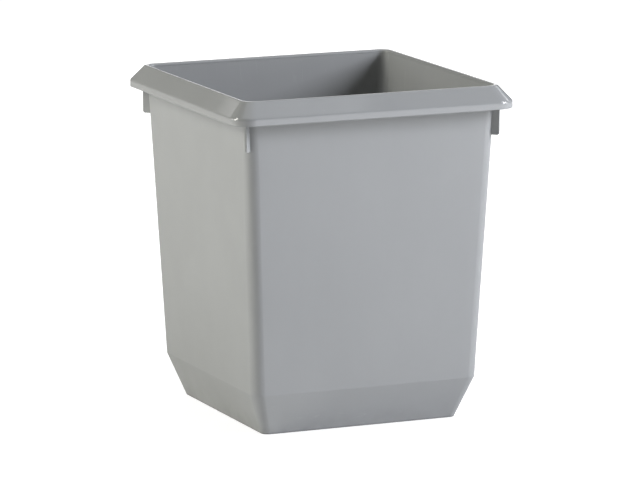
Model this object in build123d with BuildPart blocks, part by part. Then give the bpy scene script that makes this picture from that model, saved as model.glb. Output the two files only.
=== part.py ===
"""Square tapered wastebasket of 27 litres: a moulded tub, and the lift-off rim collar that hides and holds the bag.

Millimetres, +Z up, origin at the centre of the footprint on the floor. The basket is square in plan, so
every outline is a rounded square, whose half width and corner radius change with height.
"""

from build123d import *
import math
import os

# Outside of the basket
HEIGHT = 370.0  # floor to the collar's top edge
BASE_WIDTH = 228.5  # at the floor
BASE_CORNER = 8.0
CREASE_HEIGHT = 46.5  # where the foot band meets the main walls
CREASE_WIDTH = 264.1
CREASE_CORNER = 12.5
MOUTH_WIDTH = 295.9  # the main walls' outside, carried up to HEIGHT
MOUTH_CORNER = 13.4

# Tub: walls and floor
WALL = 2.2
FLOOR = 2.5
FOOT_RING_WIDTH = 3.0
FOOT_RING_HEIGHT = 3.0  # the floor panel's underside stands this far above the ring
TUB_TOP = 366.7  # the wall's top edge, under the collar's lip
CREASE_FILLET = 4.0
FOOT_FILLET = 0.8
FLOOR_FILLET = 3.0
GATE_DISH_RADIUS = 7.0  # shallow dish round the moulding gate, under the floor
GATE_DISH_DEPTH = 0.6
GATE_STUB_RADIUS = 1.6
GATE_STUB_HEIGHT = 1.0

# Tub: the ledge that carries the collar, and the stacking lug under it at each corner
LEDGE_TOP = 357.6
LEDGE_THICK = 2.2
LEDGE_REACH = 6.2
LUG_THICK = 2.0
LUG_BOTTOM = 315.5
LUG_EDGE = 209.5  # distance from the axis to the lug's outer edge, at its foot
LUG_DRAFT = 0.01  # what that edge gains for each millimetre up
LUG_ROUND = 2.5

# Collar: a lip flush with the wall, a sloping roof and an upright skirt
COLLAR_WIDTH = 328.4  # over the skirt, the widest place
SKIRT_CORNER = 21.2
SKIRT_BOTTOM = 345.7
SKIRT_TOP = 353.3
SKIRT_WALL = 2.0
ROOF_WALL = 2.2
TOP_LAND = 3.8  # width of the collar's top edge, lip to roof, before both its edges are rounded
TOP_CORNER = 12.5
LIP_GAP = 0.15  # between the lip and the wall's top edge
LIP_FILLET = 2.3
TOP_FILLET = 2.4
ROOF_FILLET = 3.2
SKIRT_FILLET = 0.7

# Collar: ribs that stand on the ledge and centre the collar round the wall
RIB_THICK = 1.8
RIB_GAP = 0.35
RIB_PLACES = (-120.0, -60.0, 0.0, 60.0, 120.0)

SIDES = 4
DIAGONAL = math.sqrt(2.0)

# Half width lost for each millimetre down the main walls and down the foot band
main_slope = (MOUTH_WIDTH - CREASE_WIDTH) / 2 / (HEIGHT - CREASE_HEIGHT)
band_slope = (CREASE_WIDTH - BASE_WIDTH) / 2 / CREASE_HEIGHT

# Wall thickness measured level, and the height where the two inner slopes meet
main_level = WALL * math.hypot(1.0, main_slope)
band_level = WALL * math.hypot(1.0, band_slope)
inner_crease = CREASE_HEIGHT + (band_level - main_level) / (band_slope - main_slope)


def outside(z):
    """Half width and corner radius of the tub's outside at height z."""
    if z < CREASE_HEIGHT:
        half = CREASE_WIDTH / 2 - band_slope * (CREASE_HEIGHT - z)
        return half, BASE_CORNER + (CREASE_CORNER - BASE_CORNER) * z / CREASE_HEIGHT
    share = (z - CREASE_HEIGHT) / (HEIGHT - CREASE_HEIGHT)
    half = CREASE_WIDTH / 2 + main_slope * (z - CREASE_HEIGHT)
    return half, CREASE_CORNER + (MOUTH_CORNER - CREASE_CORNER) * share


def inside(z):
    """Half width and corner radius of the tub's inside at height z."""
    half, radius = outside(z)
    if z < inner_crease:
        half = CREASE_WIDTH / 2 - band_slope * (CREASE_HEIGHT - z)
        return half - band_level, radius - WALL
    half = CREASE_WIDTH / 2 + main_slope * (z - CREASE_HEIGHT)
    return half - main_level, radius - WALL


def corner_reach(half, radius):
    """Distance from the axis to a rounded square's outline, measured on the diagonal."""
    return (half - radius) * DIAGONAL + radius


def rounded_square(half, radius):
    """A rounded square of the given half width, in the sketch that is open."""
    RectangleRounded(2 * half, 2 * half, radius)


# Stacking lug: an upright plate on the +X +Y diagonal, whose root ends inside the wall
lug_top = LEDGE_TOP - LEDGE_THICK / 2
root_bottom = corner_reach(*outside(LUG_BOTTOM))
root_top = corner_reach(*outside(lug_top))

with BuildPart() as lug:
    with BuildSketch(Plane(origin=(0, 0, 0), x_dir=(1, 1, 0), z_dir=(1, -1, 0))):
        with BuildLine():
            Polyline(
                (root_bottom - WALL / 2, LUG_BOTTOM),
                (LUG_EDGE, LUG_BOTTOM),
                (LUG_EDGE + LUG_DRAFT * (lug_top - LUG_BOTTOM), lug_top),
                (root_top - WALL / 2, lug_top),
                close=True,
            )
        make_face()
        fillet(vertices().group_by(Axis.Y)[0].sort_by(Axis.X)[-1], LUG_ROUND)
    extrude(amount=LUG_THICK / 2, both=True)

# The room inside the tub, up to its top edge
with BuildPart() as room:
    for z in (FOOT_RING_HEIGHT + FLOOR, inner_crease, TUB_TOP):
        with BuildSketch(Plane.XY.offset(z)):
            rounded_square(*inside(z))
    loft(ruled=True)
    fillet(room.edges().filter_by_position(Axis.Z, inner_crease - 0.1, inner_crease + 0.1), CREASE_FILLET - WALL)
    fillet(room.edges().group_by(Axis.Z)[0], FLOOR_FILLET)

# Tub: floor, foot band, four walls, ledge and lugs in one moulding
with BuildPart() as tub:
    for z in (0.0, CREASE_HEIGHT, TUB_TOP):
        with BuildSketch(Plane.XY.offset(z)):
            rounded_square(*outside(z))
    loft(ruled=True)
    fillet(tub.edges().filter_by_position(Axis.Z, CREASE_HEIGHT - 0.1, CREASE_HEIGHT + 0.1), CREASE_FILLET)
    fillet(tub.edges().group_by(Axis.Z)[0], FOOT_FILLET)
    ledge_half, ledge_corner = outside(LEDGE_TOP)
    with BuildSketch(Plane.XY.offset(LEDGE_TOP)):
        rounded_square(ledge_half + LEDGE_REACH, ledge_corner + LEDGE_REACH)
    extrude(amount=-LEDGE_THICK)
    with PolarLocations(0, SIDES):
        add(lug.part)
    add(room.part, mode=Mode.SUBTRACT)
    with BuildSketch():
        rounded_square(BASE_WIDTH / 2 - FOOT_RING_WIDTH, BASE_CORNER - FOOT_RING_WIDTH)
    extrude(amount=FOOT_RING_HEIGHT, mode=Mode.SUBTRACT)
    with BuildSketch(Plane.XY.offset(FOOT_RING_HEIGHT)):
        Circle(GATE_DISH_RADIUS)
    extrude(amount=GATE_DISH_DEPTH, mode=Mode.SUBTRACT)
    with BuildSketch(Plane.XY.offset(FOOT_RING_HEIGHT + GATE_DISH_DEPTH)):
        Circle(GATE_STUB_RADIUS)
    extrude(amount=-GATE_STUB_HEIGHT)

# Collar levels: the roof's slope, its thickness measured level, and where its underside meets the lip
lip_bottom = TUB_TOP + LIP_GAP
lip_inner, lip_inner_corner = inside(HEIGHT)
top_half = lip_inner + TOP_LAND
roof_slope = (COLLAR_WIDTH / 2 - top_half) / (HEIGHT - SKIRT_TOP)
roof_level = ROOF_WALL * math.hypot(1.0, roof_slope)
lip_outer, lip_outer_corner = outside(lip_bottom)
roof_underside_top = HEIGHT - (lip_outer + roof_level - top_half) / roof_slope
skirt_inner = COLLAR_WIDTH / 2 - SKIRT_WALL
skirt_inner_top = SKIRT_TOP - (roof_level - SKIRT_WALL) / roof_slope


def roof_corner(z):
    """Corner radius of the roof's outside at height z."""
    return SKIRT_CORNER + (TOP_CORNER - SKIRT_CORNER) * (z - SKIRT_TOP) / (HEIGHT - SKIRT_TOP)


# One rib: it hangs from the roof and the lip, stands on the ledge and keeps clear of the wall
with BuildPart() as rib:
    with BuildSketch(Plane.YZ):
        with BuildLine():
            rib_foot = LEDGE_TOP + RIB_GAP
            roof_at_foot = lip_outer + (roof_underside_top - rib_foot) * roof_slope
            Polyline(
                (lip_outer + RIB_GAP, rib_foot),
                (roof_at_foot + roof_level / 2, rib_foot),
                (lip_outer + roof_level / 2, roof_underside_top),
                (lip_outer - RIB_GAP, roof_underside_top),
                (lip_outer - RIB_GAP, lip_bottom),
                (lip_outer + RIB_GAP, lip_bottom),
                close=True,
            )
        make_face()
    extrude(amount=RIB_THICK / 2, both=True)

# The hollow under the roof, open below
with BuildPart() as hollow:
    with BuildSketch(Plane.XY.offset(SKIRT_BOTTOM)):
        rounded_square(skirt_inner, SKIRT_CORNER - SKIRT_WALL)
    with BuildSketch(Plane.XY.offset(skirt_inner_top)):
        rounded_square(skirt_inner, SKIRT_CORNER - SKIRT_WALL)
    with BuildSketch(Plane.XY.offset(roof_underside_top)):
        rounded_square(lip_outer, roof_corner(roof_underside_top) - roof_level)
    loft(ruled=True)

# Collar: roof and skirt, then the lip, then the mouth cut through both, then the ribs
with BuildPart() as rim_collar:
    with BuildSketch(Plane.XY.offset(SKIRT_BOTTOM)):
        rounded_square(COLLAR_WIDTH / 2, SKIRT_CORNER)
    with BuildSketch(Plane.XY.offset(SKIRT_TOP)):
        rounded_square(COLLAR_WIDTH / 2, SKIRT_CORNER)
    with BuildSketch(Plane.XY.offset(HEIGHT)):
        rounded_square(top_half, TOP_CORNER)
    loft(ruled=True)
    fillet(rim_collar.edges().group_by(Axis.Z)[-1], TOP_FILLET)
    fillet(rim_collar.edges().filter_by_position(Axis.Z, SKIRT_TOP - 0.1, SKIRT_TOP + 0.1), ROOF_FILLET)
    fillet(rim_collar.edges().group_by(Axis.Z)[0], SKIRT_FILLET)
    add(hollow.part, mode=Mode.SUBTRACT)
    with BuildSketch(Plane.XY.offset(lip_bottom)):
        rounded_square(lip_outer, lip_outer_corner)
    extrude(amount=roof_underside_top - lip_bottom)
    with BuildSketch(Plane.XY.offset(lip_bottom)):
        rounded_square(*inside(lip_bottom))
    with BuildSketch(Plane.XY.offset(HEIGHT)):
        rounded_square(lip_inner, lip_inner_corner)
    loft(ruled=True, mode=Mode.SUBTRACT)
    fillet(rim_collar.faces().sort_by(Axis.Z)[-1].inner_wires()[0].edges(), LIP_FILLET)
    for place in RIB_PLACES:
        with PolarLocations(0, SIDES):
            with Locations((place, 0, 0)):
                add(rib.part)

os.makedirs("parts", exist_ok=True)
tub.part.label = "tub"
export_step(tub.part, "parts/tub.step")
rim_collar.part.label = "rim_collar"
export_step(rim_collar.part, "parts/rim_collar.step")
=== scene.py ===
import math

import bpy
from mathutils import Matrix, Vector


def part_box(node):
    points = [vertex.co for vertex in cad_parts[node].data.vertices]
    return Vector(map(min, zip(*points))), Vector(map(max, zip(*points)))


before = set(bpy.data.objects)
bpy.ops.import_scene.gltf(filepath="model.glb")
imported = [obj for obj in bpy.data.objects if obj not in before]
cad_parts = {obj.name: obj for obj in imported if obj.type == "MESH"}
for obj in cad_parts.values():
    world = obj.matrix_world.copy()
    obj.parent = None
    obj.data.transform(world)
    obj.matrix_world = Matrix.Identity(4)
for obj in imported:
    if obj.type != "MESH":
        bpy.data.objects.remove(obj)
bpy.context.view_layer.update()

# Camera: azimuth 0 looks along +Y and -90 looks along +X, elevation is above the horizon, in degrees
CAMERA_AZIMUTH = -23.45
CAMERA_ELEVATION = 10.58
CAMERA_DISTANCE = 5.38
CAMERA_LENS = 275.0
CAMERA_REACH = 50
AIM_RIGHT = 0.0013
AIM_UP = 0.0007

# Heights of the basket's own features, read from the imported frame
COLLAR_LOW, COLLAR_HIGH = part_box("rim_collar")
BASKET_TOP = COLLAR_HIGH.z

# Heights above the floor where dust and wear on the tub, and the painted contact shadow along its foot,
# begin and are strongest, in metres
DUST_TOP, DUST_FULL = 0.045, 0.002
PAINTED_SHADOW_TOP, PAINTED_SHADOW_FULL = 0.0026, 0.0008

# Depths of the collar's rubbed edges: where the rubbing fades out and where it is full
TOP_FADE, TOP_FULL = 0.0020, 0.0002
LOWER_FADE, LOWER_FULL = 0.0012, 0.0001

# Colours of the plastics (a darker and a lighter cloud each), of the marks on them, and of the painted
# contact shadow along the tub's foot
TUB_DARK, TUB_LIGHT = (0.294, 0.299, 0.300, 1), (0.306, 0.311, 0.312, 1)
COLLAR_DARK, COLLAR_LIGHT = (0.289, 0.294, 0.295, 1), (0.299, 0.304, 0.305, 1)
DUST = (0.17, 0.162, 0.15, 1)
# Dark colour painted along the foot's lowest few millimetres as the contact shadow where the tub meets the
# floor
PAINTED_SHADOW = (0.09, 0.088, 0.085, 1)
SCUFF = (0.42, 0.425, 0.425, 1)
RUBBED = (0.40, 0.405, 0.405, 1)
SCRATCH = (0.38, 0.385, 0.385, 1)

# How much of its colour each kind of mark, and the painted contact shadow, shows where it is strongest
DUST_SHARE = 0.12
# Share of the painted contact shadow along the foot
PAINTED_SHADOW_SHARE = 0.35
SCUFF_SHARE = 0.35
DRAG_SHARE = 0.25
RUBBED_SHARE = 0.12
SCRATCH_SHARE = 0.14

# Roughness of each plastic where it is smoothest and most handled, and what the marks add to it
TUB_SMOOTH, TUB_HANDLED = 0.40, 0.46
COLLAR_SMOOTH, COLLAR_HANDLED = 0.045, 0.07
GRAIN_ADDS = 0.04
INSIDE_ADDS = 0.04
DUST_ADDS = 0.08
SCUFF_ADDS = 0.15
SCRATCH_ADDS = 0.12
RUBBED_ADDS = 0.06
LIP_FACE_ADDS = 0.34

# Depths of the relief in metres: slow waves of the moulded faces, marks, and the grain of the mould
TUB_WAVES, TUB_MARKS, TUB_GRAIN = 0.0003, 0.00003, 0.00002
COLLAR_WAVES, COLLAR_MARKS, COLLAR_GRAIN = 0.00012, 0.00001, 0.000002
FLOOR_GRAIN = 0.00002

# Floor planes; the second lies just under the first, so that neither shows through the other
FLOOR_SIZE = 12
BOUNCE_DEPTH = 0.0005
FLOOR_SHADE = 0.98

# Lights: their usual distance from the basket's middle, and their colours
LIGHT_DISTANCE = 2.2
WHITE = (1.0, 1.0, 1.0)
COOL = (0.91, 0.933, 1.0)
PALE_COOL = (0.96, 0.98, 1.0)
SKY = (0.94, 0.97, 1.0)
WARM = (1.0, 0.99, 0.91)


def link(obj):
    bpy.context.scene.collection.objects.link(obj)
    return obj


def direction(azimuth, elevation):
    """Unit vector from the basket towards something seen at this azimuth and elevation."""
    a, e = math.radians(azimuth), math.radians(elevation)
    return Vector((math.sin(a) * math.cos(e), -math.cos(a) * math.cos(e), math.sin(e)))


def point_at(obj, target):
    obj.rotation_euler = (target - obj.location).to_track_quat("-Z", "Y").to_euler()


def make_camera():
    azimuth = math.radians(CAMERA_AZIMUTH)
    right = Vector((math.cos(azimuth), math.sin(azimuth), 0))
    aim = Vector((0, 0, BASKET_TOP / 2 + AIM_UP)) + right * AIM_RIGHT
    data = bpy.data.cameras.new("camera")
    data.lens = CAMERA_LENS
    data.clip_end = CAMERA_REACH
    obj = link(bpy.data.objects.new("camera", data))
    obj.location = aim + direction(CAMERA_AZIMUTH, CAMERA_ELEVATION) * CAMERA_DISTANCE
    point_at(obj, aim)
    bpy.context.scene.camera = obj


class Painter:
    """A material's node tree, with short calls for the few kinds of node that the materials use."""

    def __init__(self, name):
        self.material = bpy.data.materials.new(name)
        self.material.use_nodes = True
        self.tree = self.material.node_tree
        self.shader = self.tree.nodes["Principled BSDF"]
        self.place = self.add("TexCoord", {}, "Object")
        self.normal = self.add("TexCoord", {}, "Normal")
        self.height = self.add("SeparateXYZ", {"Vector": self.place}, "Z")

    def add(self, kind, inputs, output=0, **settings):
        node = self.tree.nodes.new("ShaderNode" + kind)
        for key, setting in settings.items():
            setattr(node, key, setting)
        for key, source in inputs.items():
            self.feed(node.inputs[key], source)
        return node.outputs[output]

    def feed(self, socket, source):
        if isinstance(source, bpy.types.NodeSocket):
            self.tree.links.new(source, socket)
        else:
            socket.default_value = source

    def noise(self, size, detail=2.0, stretch=(1, 1, 1), twist=0.0):
        """Cloudy values from 0 to 1 whose features are about size metres across."""
        scaled = self.add("Mapping", {"Vector": self.place, "Scale": stretch})
        sockets = {"Vector": scaled, "Scale": 1 / size, "Detail": detail, "Distortion": twist}
        return self.add("TexNoise", sockets, "Fac")

    def ramp(self, value, start, end, low=0.0, high=1.0):
        """Goes smoothly from low to high while value goes from start to end."""
        sockets = {"Value": value, "From Min": start, "From Max": end, "To Min": low, "To Max": high}
        return self.add("MapRange", sockets, interpolation_type="SMOOTHSTEP")

    def math(self, operation, a, b):
        return self.add("Math", {0: a, 1: b}, operation=operation)

    def times(self, a, b):
        return self.math("MULTIPLY", a, b)

    def plus(self, a, b):
        return self.math("ADD", a, b)

    def blend(self, share, first, second):
        """The first colour where share is 0 and the second where it is 1."""
        sockets = {0: share, 6: first, 7: second}
        return self.add("Mix", sockets, 2, data_type="RGBA")

    def clouds(self, tone, dark, light):
        """The plastic's colour, from dark to light over the middle of the tone's values."""
        return self.blend(self.ramp(tone, start=0.35, end=0.65), dark, light)

    def hairlines(self, size, width, stretch=(1, 1, 1)):
        """Thin wandering lines: 1 along the middle of a line and 0 off it; width is a share of size."""
        centred = self.plus(self.noise(size, detail=1.0, stretch=stretch), -0.5)
        off_line = self.add("Math", {0: centred}, operation="ABSOLUTE")
        return self.ramp(off_line, start=width, end=0.0)

    def patches(self, size, start, end):
        """Separate soft-edged areas, 1 inside and 0 outside, to break up marks and wear."""
        return self.ramp(self.noise(size, detail=3.0), start, end)

    def inner(self, start=0.0, end=-0.02):
        """1 on the surfaces that face the basket's axis and 0 on those that face away.

        The ramp is over how far a surface lies from the axis times how squarely it faces away from it.
        """
        level = self.add("VectorMath", {0: self.place, 1: (1, 1, 0)}, operation="MULTIPLY")
        facing = self.add("VectorMath", {0: level, 1: self.normal}, "Value", operation="DOT_PRODUCT")
        return self.ramp(facing, start, end)

    def finish(self, colour, roughness, bumps):
        """Feeds the shader; bumps are (depth in metres, pattern from 0 to 1) pairs, broadest first."""
        self.feed(self.shader.inputs["Base Color"], colour)
        self.feed(self.shader.inputs["Roughness"], roughness)
        normal = None
        for depth, pattern in bumps:
            sockets = {"Height": pattern, "Distance": depth, "Strength": 1.0}
            if normal is not None:
                sockets["Normal"] = normal
            normal = self.add("Bump", sockets)
        self.feed(self.shader.inputs["Normal"], normal)
        return self.material


def tub_plastic():
    """Satin grey polypropylene with an eroded grain and faint flow marks.

    Dust and scuffs gather by the floor, the foot's lowest edge is darkened with a painted contact shadow,
    and dragged marks run down the inside.
    """
    p = Painter("tub_plastic")
    grain = p.noise(size=0.0009, detail=3.0)
    clouds = p.noise(size=0.13, detail=3.0, twist=0.3)
    flow = p.noise(size=0.03, detail=3.0, stretch=(1, 1, 0.1))
    tone = p.plus(p.times(clouds, 0.45), p.plus(p.times(flow, 0.25), p.times(grain, 0.3)))
    colour = p.clouds(tone, TUB_DARK, TUB_LIGHT)

    near_floor = p.ramp(p.height, DUST_TOP, DUST_FULL)
    dust = p.times(p.times(near_floor, near_floor), p.patches(size=0.02, start=0.35, end=0.7))
    colour = p.blend(p.times(dust, DUST_SHARE), colour, DUST)
    # Painted contact shadow: the lowest few millimetres of the foot are darkened where the tub meets the
    # floor
    painted_shadow = p.ramp(p.height, PAINTED_SHADOW_TOP, PAINTED_SHADOW_FULL)
    colour = p.blend(p.times(painted_shadow, PAINTED_SHADOW_SHARE), colour, PAINTED_SHADOW)
    scuffs = p.hairlines(size=0.012, width=0.012, stretch=(0.12, 0.12, 1.0))
    scuffs = p.times(scuffs, p.times(near_floor, p.patches(size=0.03, start=0.47, end=0.6)))
    colour = p.blend(p.times(scuffs, SCUFF_SHARE), colour, SCUFF)

    drags = p.hairlines(size=0.014, width=0.010, stretch=(1.0, 1.0, 0.06))
    drags = p.times(drags, p.times(p.inner(), p.patches(size=0.045, start=0.48, end=0.6)))
    colour = p.blend(p.times(drags, DRAG_SHARE), colour, RUBBED)

    handled = p.noise(size=0.05, detail=4.0)
    roughness = p.ramp(handled, start=0.3, end=0.7, low=TUB_SMOOTH, high=TUB_HANDLED)
    roughness = p.plus(roughness, p.times(grain, GRAIN_ADDS))
    roughness = p.plus(roughness, p.plus(p.times(scuffs, SCUFF_ADDS), p.times(dust, DUST_ADDS)))
    roughness = p.plus(roughness, p.times(p.inner(), INSIDE_ADDS))
    bumps = [
        (TUB_WAVES, p.noise(size=0.12, detail=1.0)),
        (TUB_MARKS, p.times(p.plus(scuffs, drags), -1.0)),
        (TUB_GRAIN, grain),
    ]
    return p.finish(colour, roughness, bumps)


def collar_plastic():
    """The same polypropylene from a polished mould: glossy, with a satin face inside the lip.

    It has hairline scratches, and its top and lower edges are rubbed by hands.
    """
    p = Painter("collar_plastic")
    grain = p.noise(size=0.0007, detail=2.0)
    clouds = p.noise(size=0.08, detail=3.0, twist=0.4)
    colour = p.clouds(p.plus(p.times(clouds, 0.7), p.times(grain, 0.3)), COLLAR_DARK, COLLAR_LIGHT)

    top_edge = p.ramp(p.height, BASKET_TOP - TOP_FADE, BASKET_TOP - TOP_FULL)
    lower_edge = p.ramp(p.height, COLLAR_LOW.z + LOWER_FADE, COLLAR_LOW.z + LOWER_FULL)
    rubbed = p.times(p.plus(top_edge, lower_edge), p.patches(size=0.02, start=0.42, end=0.6))
    colour = p.blend(p.times(rubbed, RUBBED_SHARE), colour, RUBBED)
    scratches = p.hairlines(size=0.016, width=0.007, stretch=(0.35, 0.35, 1.0))
    scratches = p.times(scratches, p.patches(size=0.018, start=0.5, end=0.62))
    colour = p.blend(p.times(scratches, SCRATCH_SHARE), colour, SCRATCH)

    wiped = p.noise(size=0.03, detail=4.0, stretch=(1, 1, 2.0), twist=0.6)
    roughness = p.ramp(wiped, start=0.3, end=0.7, low=COLLAR_SMOOTH, high=COLLAR_HANDLED)
    wear = p.plus(p.times(scratches, SCRATCH_ADDS), p.times(rubbed, RUBBED_ADDS))
    roughness = p.plus(roughness, wear)
    lip_face = p.inner(start=-0.11, end=-0.14)
    roughness = p.plus(roughness, p.times(lip_face, LIP_FACE_ADDS))
    bumps = [
        (COLLAR_WAVES, p.noise(size=0.09, detail=1.0)),
        (COLLAR_MARKS, p.times(scratches, -1.0)),
        (COLLAR_GRAIN, grain),
    ]
    return p.finish(colour, roughness, bumps)


def floor_paint(name, white, start, end, glow_near, glow_far):
    """Plain white floor that glows from beneath, as on a light table.

    The glow goes from glow_near to glow_far between start and end metres from the basket's middle.
    """
    p = Painter(name)
    shade = FLOOR_SHADE * white
    colour = p.blend(p.noise(size=0.5, detail=3.0), (white, white, white, 1), (shade, shade, shade, 1))
    away = p.add("VectorMath", {0: p.place}, "Value", operation="LENGTH")
    p.shader.inputs["Emission Color"].default_value = (1, 1, 1, 1)
    p.feed(p.shader.inputs["Emission Strength"], p.ramp(away, start, end, glow_near, glow_far))
    roughness = p.ramp(p.noise(size=0.2, detail=3.0), start=0.3, end=0.7, low=0.55, high=0.6)
    return p.finish(colour, roughness, [(FLOOR_GRAIN, p.noise(size=0.003, detail=2.0))])


def make_plane(name, height, paint):
    bpy.ops.mesh.primitive_plane_add(size=FLOOR_SIZE, location=(0, 0, height))
    plane = bpy.context.object
    plane.name = name
    plane.data.materials.append(paint)
    return plane


def make_floor():
    """Two planes: the one that is seen glows nearly white, and the other one lights the basket.

    A single floor as bright as the seen one would wash out the basket's own shading.
    """
    seen_paint = floor_paint("floor_paint", white=0.35, start=0.1, end=0.9, glow_near=0.78, glow_far=1.0)
    seen = make_plane("floor", 0.0, seen_paint)
    seen.visible_diffuse = False
    seen.visible_glossy = False
    seen.visible_shadow = False
    bounce_paint = floor_paint("bounce_paint", white=0.9, start=1.0, end=1.8, glow_near=0.0, glow_far=0.34)
    bounce = make_plane("floor_bounce", -BOUNCE_DEPTH, bounce_paint)
    bounce.visible_camera = False


def area_light(name, azimuth, elevation, size, power, colour=WHITE, distance=LIGHT_DISTANCE, roll=0.0):
    """A soft box that faces the middle of the basket; size is its width and height, power is in watts."""
    data = bpy.data.lights.new(name, "AREA")
    data.shape = "RECTANGLE"
    data.size, data.size_y = size
    data.energy = power
    data.color = colour
    obj = link(bpy.data.objects.new(name, data))
    centre = Vector((0, 0, BASKET_TOP / 2))
    obj.location = centre + direction(azimuth, elevation) * distance
    point_at(obj, centre)
    obj.rotation_euler.rotate_axis("Z", math.radians(roll))
    obj.visible_camera = False


def make_lights():
    """Cool key on the right, tall warm strip on the left, and weak fills.

    The wall and the card behind the basket show only as reflections in the glossy collar.
    """
    area_light("key", 53, 27, size=(0.95, 1.3), power=97, colour=COOL, distance=3.0)
    area_light("right_low", 60, 8, size=(0.7, 0.4), power=6)
    area_light("left", -100, 27, size=(0.5, 1.5), power=36.5, colour=WARM)
    area_light("left_low", -123, 8, size=(0.9, 0.5), power=7)
    area_light("front_fill", 23, 3, size=(1.1, 0.7), power=2.8, colour=PALE_COOL, distance=1.6)
    area_light("top", 0, 88, size=(1.8, 1.8), power=9.5, colour=SKY)
    area_light("wall_behind", 155, 20, size=(1.2, 2.3), power=14, distance=3.0)
    area_light("right_high", 99, 35, size=(0.4, 0.3), power=1.9)
    area_light("card", -159.4, 27.1, size=(0.1, 0.4), power=0.12, distance=1.83, roll=40)


def make_world():
    """White beyond the floor's edge, for the camera only: it lights nothing and isn't reflected."""
    world = bpy.data.worlds.new("world")
    bpy.context.scene.world = world
    world.use_nodes = True
    background = world.node_tree.nodes["Background"]
    background.inputs["Color"].default_value = (1, 1, 1, 1)
    background.inputs["Strength"].default_value = 1.0
    world.cycles_visibility.diffuse = False
    world.cycles_visibility.glossy = False


make_camera()
make_floor()
make_lights()
make_world()
bpy.context.scene.view_settings.view_transform = "Standard"
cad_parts["tub"].material_slots[0].material = tub_plastic()
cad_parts["rim_collar"].material_slots[0].material = collar_plastic()
